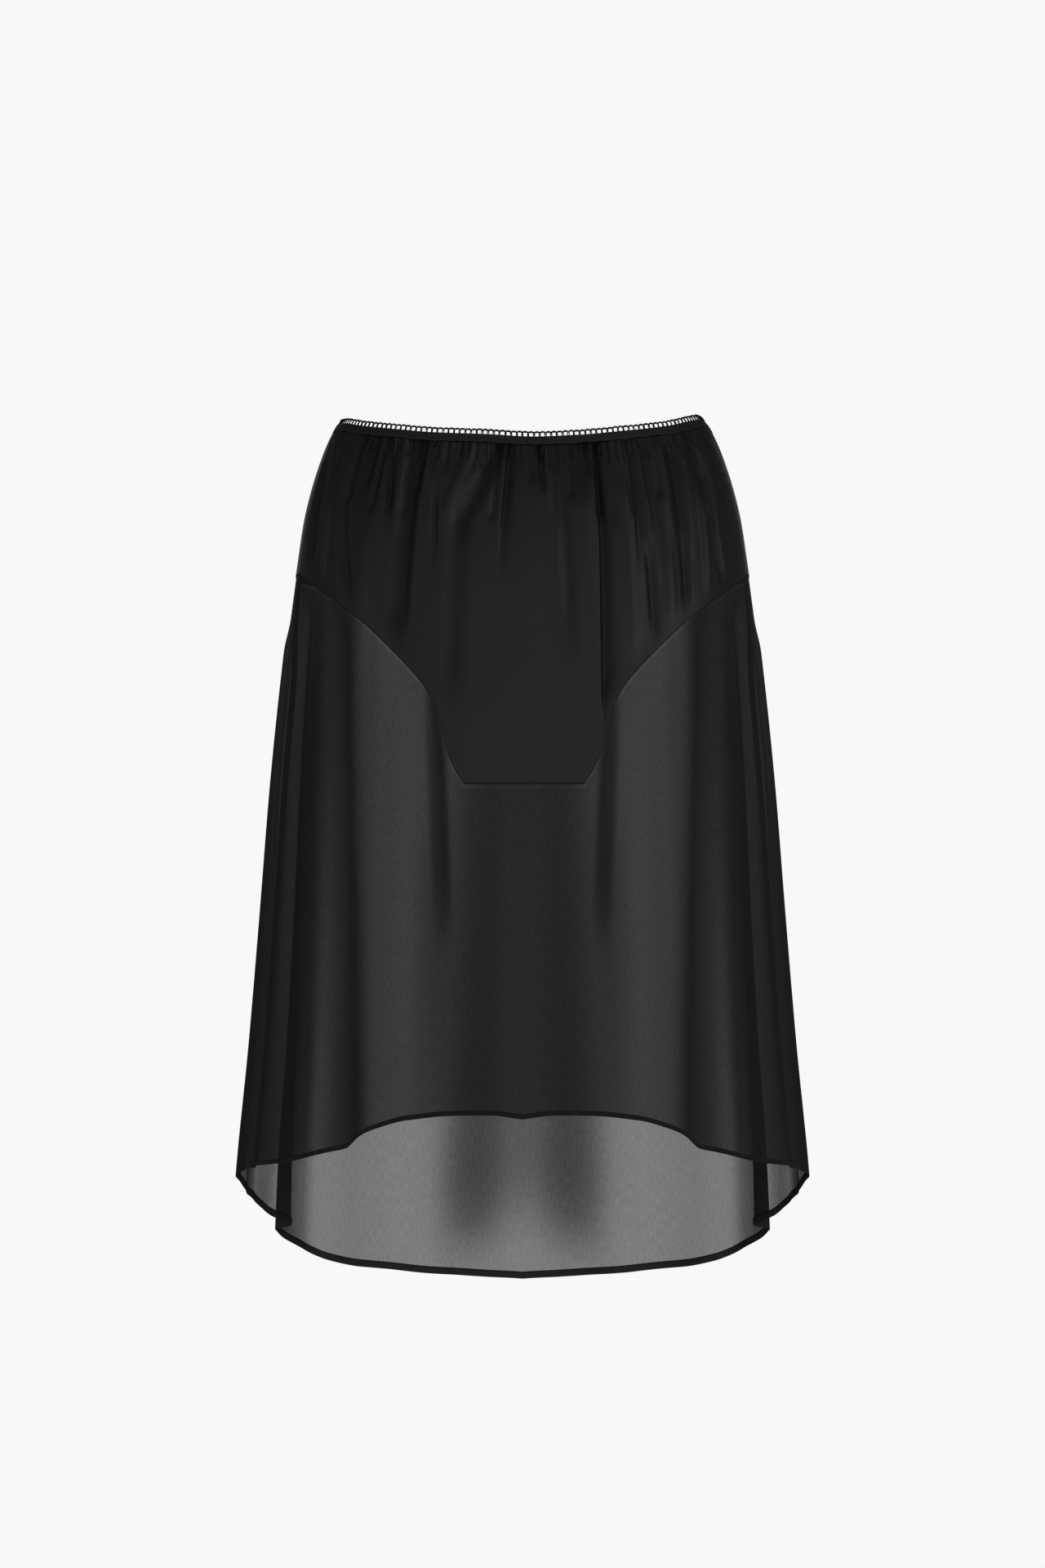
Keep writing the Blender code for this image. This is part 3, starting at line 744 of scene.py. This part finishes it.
def mesh_object(name, vertices, faces, material):
    """A smooth object from an array of points, in any grid, and a list of faces."""
    mesh = bpy.data.meshes.new(name)
    mesh.from_pydata(vertices.reshape(-1, 3).tolist(), [], faces)
    mesh.shade_smooth()
    mesh.materials.append(material)
    made = bpy.data.objects.new(name, mesh)
    bpy.context.scene.collection.objects.link(made)
    return made


def tube_faces(count, stations, sides):
    """Faces of many closed tubes whose points lie in order of tube, station and side."""
    index = np.arange(count * stations * sides).reshape(count, stations, sides)
    beyond = np.roll(index, -1, axis=2)
    corners = [index[:, :-1], beyond[:, :-1], beyond[:, 1:], index[:, 1:]]
    walls = np.stack(corners, axis=-1).reshape(-1, 4).tolist()
    starts = index[:, 0, ::-1].tolist()
    ends = index[:, -1, :].tolist()
    return walls + starts + ends


def tubes(name, paths, across, radii, sides, material):
    """Tubes along paths that lie in a plane square to the given direction at each station."""
    tangent = np.gradient(paths, axis=1)
    tangent /= np.linalg.norm(tangent, axis=2, keepdims=True)
    beside = np.cross(tangent, across)
    beside /= np.linalg.norm(beside, axis=2, keepdims=True)
    angle = np.arange(sides) * 2.0 * math.pi / sides
    ring = across[:, :, None, :] * np.cos(angle)[:, None]
    ring = ring + beside[:, :, None, :] * np.sin(angle)[:, None]
    vertices = paths[:, :, None, :] + ring * radii[:, :, None, None]
    faces = tube_faces(paths.shape[0], paths.shape[1], sides)
    return mesh_object(name, vertices, faces, material)


def picot_edge(material):
    """Loops of cord side by side along the top of the elastic, with an open eyelet in each."""
    fine = np.linspace(0.0, FULL_TURN, FINE_STEPS)
    walked = waist_length(fine)
    count = int(round(walked[-1] / PICOT_PITCH))
    random = np.random.default_rng(PICOT_SEED)
    loop = np.array(PICOT_LOOP)
    steps = np.arange(count)[:, None] + loop[None, :, 0]
    middle = loop[:, 0] - 0.5
    squeeze = random.uniform(*PICOT_SQUEEZE, (count, 1))
    steps = steps + middle * squeeze + random.uniform(*PICOT_SHIFT, (count, 1))
    place = (steps * walked[-1] / count) % walked[-1]
    turns = np.interp(place, walked, fine)
    z = waist_edge(turns, 0.0)
    below = loop[:, 1] * MM + random.uniform(*PICOT_DROP, (count, 1))
    x, y, out_x, out_y = ring_point(turns, z - below)
    across = np.stack([out_x, out_y, np.zeros_like(out_x)], axis=2)
    paths = np.stack([x, y, z - below], axis=2) - across * 0.5 * SATIN_WALL
    radii = np.broadcast_to(loop[:, 2] * MM, turns.shape)
    radii = radii * random.uniform(*PICOT_THICKNESS, (count, 1))
    return tubes("picot_edge", paths, across, radii, PICOT_SIDES, material)


def elastic_band(material):
    """The flat elastic: a closed band with soft edges and a slightly wavy lower edge."""
    turns = np.arange(ELASTIC_COLUMNS) * FULL_TURN / ELASTIC_COLUMNS
    z = waist_edge(turns, 0.0)
    random = np.random.default_rng(ELASTIC_SEED)
    waves = np.zeros(ELASTIC_COLUMNS)
    for number in ELASTIC_WAVES:
        size = random.uniform(*WAVE_SIZES)
        waves += size * np.sin(np.radians(turns) * number + random.uniform(*WAVE_PHASES))
    waves *= WAVE_HEIGHT
    rows = []
    for out_share, down_share in ELASTIC_PROFILE:
        below = TRIM_HEIGHT + SEAM_GAP + ELASTIC_HEIGHT * down_share + waves * down_share
        x, y, out_x, out_y = ring_point(turns, z - below)
        out = 0.5 * (ELASTIC_WALL * out_share - SATIN_WALL) + waves * WAVE_OUT_SHARE
        rows.append(np.stack([x + out_x * out, y + out_y * out, z - below], axis=1))
    vertices = np.array(rows)
    index = np.arange(vertices.shape[0] * ELASTIC_COLUMNS).reshape(-1, ELASTIC_COLUMNS)
    lower = np.roll(index, -1, axis=0)
    beyond = np.roll(index, -1, axis=1)
    both = np.roll(lower, -1, axis=1)
    faces = np.stack([index, beyond, both, lower], axis=-1).reshape(-1, 4).tolist()
    return mesh_object("elastic_band", vertices, faces, material)


def new_material(name, colour):
    material = bpy.data.materials.new(name)
    material.use_nodes = True
    tree = material.node_tree
    shader = tree.nodes["Principled BSDF"]
    shader.inputs["Base Color"].default_value = (*colour, 1.0)
    return material, tree.nodes, tree.links, shader


def math_node(nodes, links, operation, first, second):
    node = nodes.new("ShaderNodeMath")
    node.operation = operation
    for socket, value in zip(node.inputs, (first, second)):
        if isinstance(value, (int, float)):
            socket.default_value = value
        else:
            links.new(value, socket)
    return node.outputs[0]


def map_range(nodes, links, value, to_range, from_range=(0.0, 1.0)):
    """The value moved from one range to another."""
    node = nodes.new("ShaderNodeMapRange")
    for label, (low, high) in (("From", from_range), ("To", to_range)):
        node.inputs[label + " Min"].default_value = low
        node.inputs[label + " Max"].default_value = high
    links.new(value, node.inputs["Value"])
    return node.outputs[0]


def noise(nodes, links, place, scale_and_detail):
    node = nodes.new("ShaderNodeTexNoise")
    node.inputs["Scale"].default_value, node.inputs["Detail"].default_value = scale_and_detail
    links.new(place, node.inputs["Vector"])
    return node.outputs["Fac"]


def attribute(nodes, name):
    node = nodes.new("ShaderNodeAttribute")
    node.attribute_name = name
    return node.outputs["Fac"]


def add_bump(nodes, links, shader, height, strength_and_distance):
    bump = nodes.new("ShaderNodeBump")
    bump.inputs["Strength"].default_value, bump.inputs["Distance"].default_value = strength_and_distance
    links.new(height, bump.inputs["Height"])
    links.new(bump.outputs["Normal"], shader.inputs["Normal"])


def satin_material(name, colour):
    """Satin: a fine diagonal weave, with a sheen that varies softly, and a lower specular level painted
    into deep creases and above its lower seam as painted shade.
    """
    material, nodes, links, shader = new_material(name, colour)
    # The specular level falls with the painted crease shade
    gloss_and_crease_shade = map_range(nodes, links, attribute(nodes, "crease_painted_shade"), SATIN_GLOSS_AND_CREASE_SHADE)
    links.new(gloss_and_crease_shade, shader.inputs["Specular IOR Level"])
    place = nodes.new("ShaderNodeTexCoord")
    broad = noise(nodes, links, place.outputs["Object"], SATIN_PATCHES)
    links.new(map_range(nodes, links, broad, SATIN_ROUGHNESS), shader.inputs["Roughness"])
    weave = nodes.new("ShaderNodeTexWave")
    weave.wave_type = "BANDS"
    weave.bands_direction = "DIAGONAL"
    weave.inputs["Scale"].default_value = SATIN_WEAVE
    weave.inputs["Distortion"].default_value = SATIN_WEAVE_DISTORTION
    links.new(place.outputs["UV"], weave.inputs["Vector"])
    add_bump(nodes, links, shader, weave.outputs["Fac"], SATIN_BUMP)
    return material


def sheer_material(name, colour):
    """Crepe georgette: light passes between its threads, less where the cloth is seen edge on and where
    extra layers are painted in as painted shade, more along a painted light line.
    """
    material, nodes, links, shader = new_material(name, colour)
    shader.inputs["Roughness"].default_value = SHEER_ROUGHNESS
    shader.inputs["Specular IOR Level"].default_value = SHEER_SPECULAR
    place = nodes.new("ShaderNodeTexCoord")
    stretch = nodes.new("ShaderNodeMapping")
    stretch.inputs["Scale"].default_value = CREPE_SCALES
    links.new(place.outputs["UV"], stretch.inputs["Vector"])
    grain = noise(nodes, links, stretch.outputs[0], CREPE_GRAIN)
    crepe = map_range(nodes, links, grain, CREPE_LAYERS, CREPE_NOISE)
    edge_on = nodes.new("ShaderNodeLayerWeight")
    edge_on.inputs["Blend"].default_value = 0.5
    facing = math_node(nodes, links, "SUBTRACT", 1.0, edge_on.outputs["Facing"])
    facing = math_node(nodes, links, "MAXIMUM", facing, LEAST_FACING)
    facing = math_node(nodes, links, "POWER", facing, FACING_POWER)
    # The layers carry painted shade and a painted light line as well as the cloth's real layers
    layers = math_node(nodes, links, "MULTIPLY", attribute(nodes, "cloth_layers_painted_shade_and_light"), crepe)
    layers = math_node(nodes, links, "DIVIDE", layers, facing)
    through = math_node(nodes, links, "POWER", SHEER_THROUGH, layers)
    alpha = math_node(nodes, links, "SUBTRACT", 1.0, through)
    links.new(alpha, shader.inputs["Alpha"])
    add_bump(nodes, links, shader, grain, CREPE_BUMP)
    return material


def thread_material(name, colour, grain):
    """Matte thread, for the elastic's plush face and the picot cord."""
    material, nodes, links, shader = new_material(name, colour)
    shader.inputs["Roughness"].default_value = THREAD_ROUGHNESS
    shader.inputs["Specular IOR Level"].default_value = THREAD_SPECULAR
    place = nodes.new("ShaderNodeTexCoord")
    twist = noise(nodes, links, place.outputs["Object"], grain)
    add_bump(nodes, links, shader, twist, THREAD_BUMP)
    return material


def make_camera():
    data = bpy.data.cameras.new("camera")
    data.sensor_width = SENSOR
    data.sensor_fit = "AUTO"
    data.lens = SENSOR * CAMERA_DISTANCE / (PHOTO_HEIGHT * METRES_PER_PIXEL)
    camera = bpy.data.objects.new("camera", data)
    camera.location = (0.0, -CAMERA_DISTANCE, CAMERA_HEIGHT)
    camera.rotation_euler = (math.radians(90.0), 0.0, 0.0)
    bpy.context.scene.collection.objects.link(camera)
    bpy.context.scene.camera = camera


def area_light(name, place, size, power):
    data = bpy.data.lights.new(name, "AREA")
    data.shape = "RECTANGLE"
    data.size, data.size_y = size
    data.energy = power
    lamp = bpy.data.objects.new(name, data)
    lamp.location = place
    direction = Vector(LIGHTS_AIM) - Vector(place)
    lamp.rotation_euler = direction.to_track_quat("-Z", "Y").to_euler()
    lamp.visible_camera = False
    bpy.context.scene.collection.objects.link(lamp)


def seen_and_lit(nodes, links, seen, lit, surface):
    """The camera sees one shader, and the cloth is lit by another."""
    path = nodes.new("ShaderNodeLightPath")
    mix = nodes.new("ShaderNodeMixShader")
    links.new(path.outputs["Is Camera Ray"], mix.inputs["Fac"])
    links.new(lit.outputs[0], mix.inputs[1])
    links.new(seen.outputs[0], mix.inputs[2])
    links.new(mix.outputs[0], surface)


def make_world():
    """The camera sees a plain pale studio. The cloth is lit by one that is darker above and behind."""
    world = bpy.data.worlds.new("studio")
    world.use_nodes = True
    bpy.context.scene.world = world
    nodes, links = world.node_tree.nodes, world.node_tree.links
    seen = nodes["Background"]
    seen.inputs["Color"].default_value = (BACKGROUND, BACKGROUND, BACKGROUND, 1.0)
    lit = nodes.new("ShaderNodeBackground")
    place = nodes.new("ShaderNodeTexCoord")
    split = nodes.new("ShaderNodeSeparateXYZ")
    links.new(place.outputs["Generated"], split.inputs[0])
    height = map_range(nodes, links, split.outputs["Z"], STUDIO_BY_HEIGHT, STUDIO_HEIGHTS)
    depth = map_range(nodes, links, split.outputs["Y"], STUDIO_BY_DEPTH, STUDIO_DEPTHS)
    strength = math_node(nodes, links, "MULTIPLY", height, depth)
    links.new(strength, lit.inputs["Strength"])
    seen_and_lit(nodes, links, seen, lit, nodes["World Output"].inputs["Surface"])


def make_floor():
    """A wide pale floor, where the wearer would stand, that looks the same as the studio round it."""
    material = bpy.data.materials.new("pale_floor")
    material.use_nodes = True
    nodes, links = material.node_tree.nodes, material.node_tree.links
    nodes.remove(nodes["Principled BSDF"])
    seen = nodes.new("ShaderNodeEmission")
    seen.inputs["Color"].default_value = (BACKGROUND, BACKGROUND, BACKGROUND, 1.0)
    lit = nodes.new("ShaderNodeEmission")
    lit.inputs["Strength"].default_value = FLOOR_STRENGTH
    seen_and_lit(nodes, links, seen, lit, nodes["Material Output"].inputs["Surface"])
    half = FLOOR_HALF_WIDTH
    corners = [(-half, -half), (half, -half), (half, half), (-half, half)]
    mesh = bpy.data.meshes.new("floor")
    mesh.from_pydata([(x, y, FLOOR_HEIGHT) for x, y in corners], [], [(0, 1, 2, 3)])
    mesh.materials.append(material)
    floor = bpy.data.objects.new("floor", mesh)
    bpy.context.scene.collection.objects.link(floor)


bpy.context.scene.view_settings.view_transform = "Standard"
make_camera()
make_world()
make_floor()
for light in LIGHTS:
    area_light(*light)

satin = satin_material("black_satin_looks", SATIN_COLOUR)
sheer = sheer_material("black_georgette_looks", SHEER_COLOUR)
plush = thread_material("black_elastic_looks", ELASTIC_COLOUR, ELASTIC_GRAIN)
cord = thread_material("black_picot_looks", PICOT_COLOUR, PICOT_GRAIN)

side = WAIST_SEAM_TURN
front_columns = panel_columns(-side, side, FRONT_COLUMNS, FRONT_PANEL_FOLDS, front_seam, front_hem)
back_columns = panel_columns(
    side, FULL_TURN - side, BACK_COLUMNS, BACK_PANEL_FOLDS, back_seam, back_hem
)

front_yoke = satin_yoke(
    "front_yoke_satin", front_columns, FRONT_YOKE_ROWS, FRONT_YOKE_FOLDS,
    (GATHERS_FRONT, PUCKERS_FRONT), FRONT_GATHER_SEED, front_seam, satin,
)
back_yoke = satin_yoke(
    "back_yoke_satin", back_columns, BACK_YOKE_ROWS, BACK_YOKE_FOLDS,
    (GATHERS_BACK, PUCKERS_BACK), BACK_GATHER_SEED, back_seam, satin,
)
front_panel = sheer_panel(
    "front_panel_sheer", front_columns, PANEL_ROWS, (FRONT_PANEL_FOLDS, FRONT_PAINTED_DARK),
    front_seam, front_hem, FRONT_HEM_TURN, sheer,
)
back_panel = sheer_panel(
    "back_panel_sheer", back_columns, PANEL_ROWS, (BACK_PANEL_FOLDS, BACK_PAINTED_DARK),
    back_seam, back_hem, BACK_HEM_TURN, sheer,
)
left_allowance = seam_allowance("left_seam_allowance", 1, sheer)
right_allowance = seam_allowance("right_seam_allowance", -1, sheer)
picot = picot_edge(cord)
elastic = elastic_band(plush)

for piece in (left_allowance, right_allowance):
    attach(piece, "root")

for piece, node, slot in (
    (front_yoke, "front_yoke", "satin"),
    (back_yoke, "back_yoke", "satin"),
    (front_panel, "front_panel", "sheer"),
    (back_panel, "back_panel", "sheer"),
    (picot, "picot_trim", "picot_cord"),
    (elastic, "waist_elastic", "elastic"),
):
    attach(piece, "root")
    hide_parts(node)
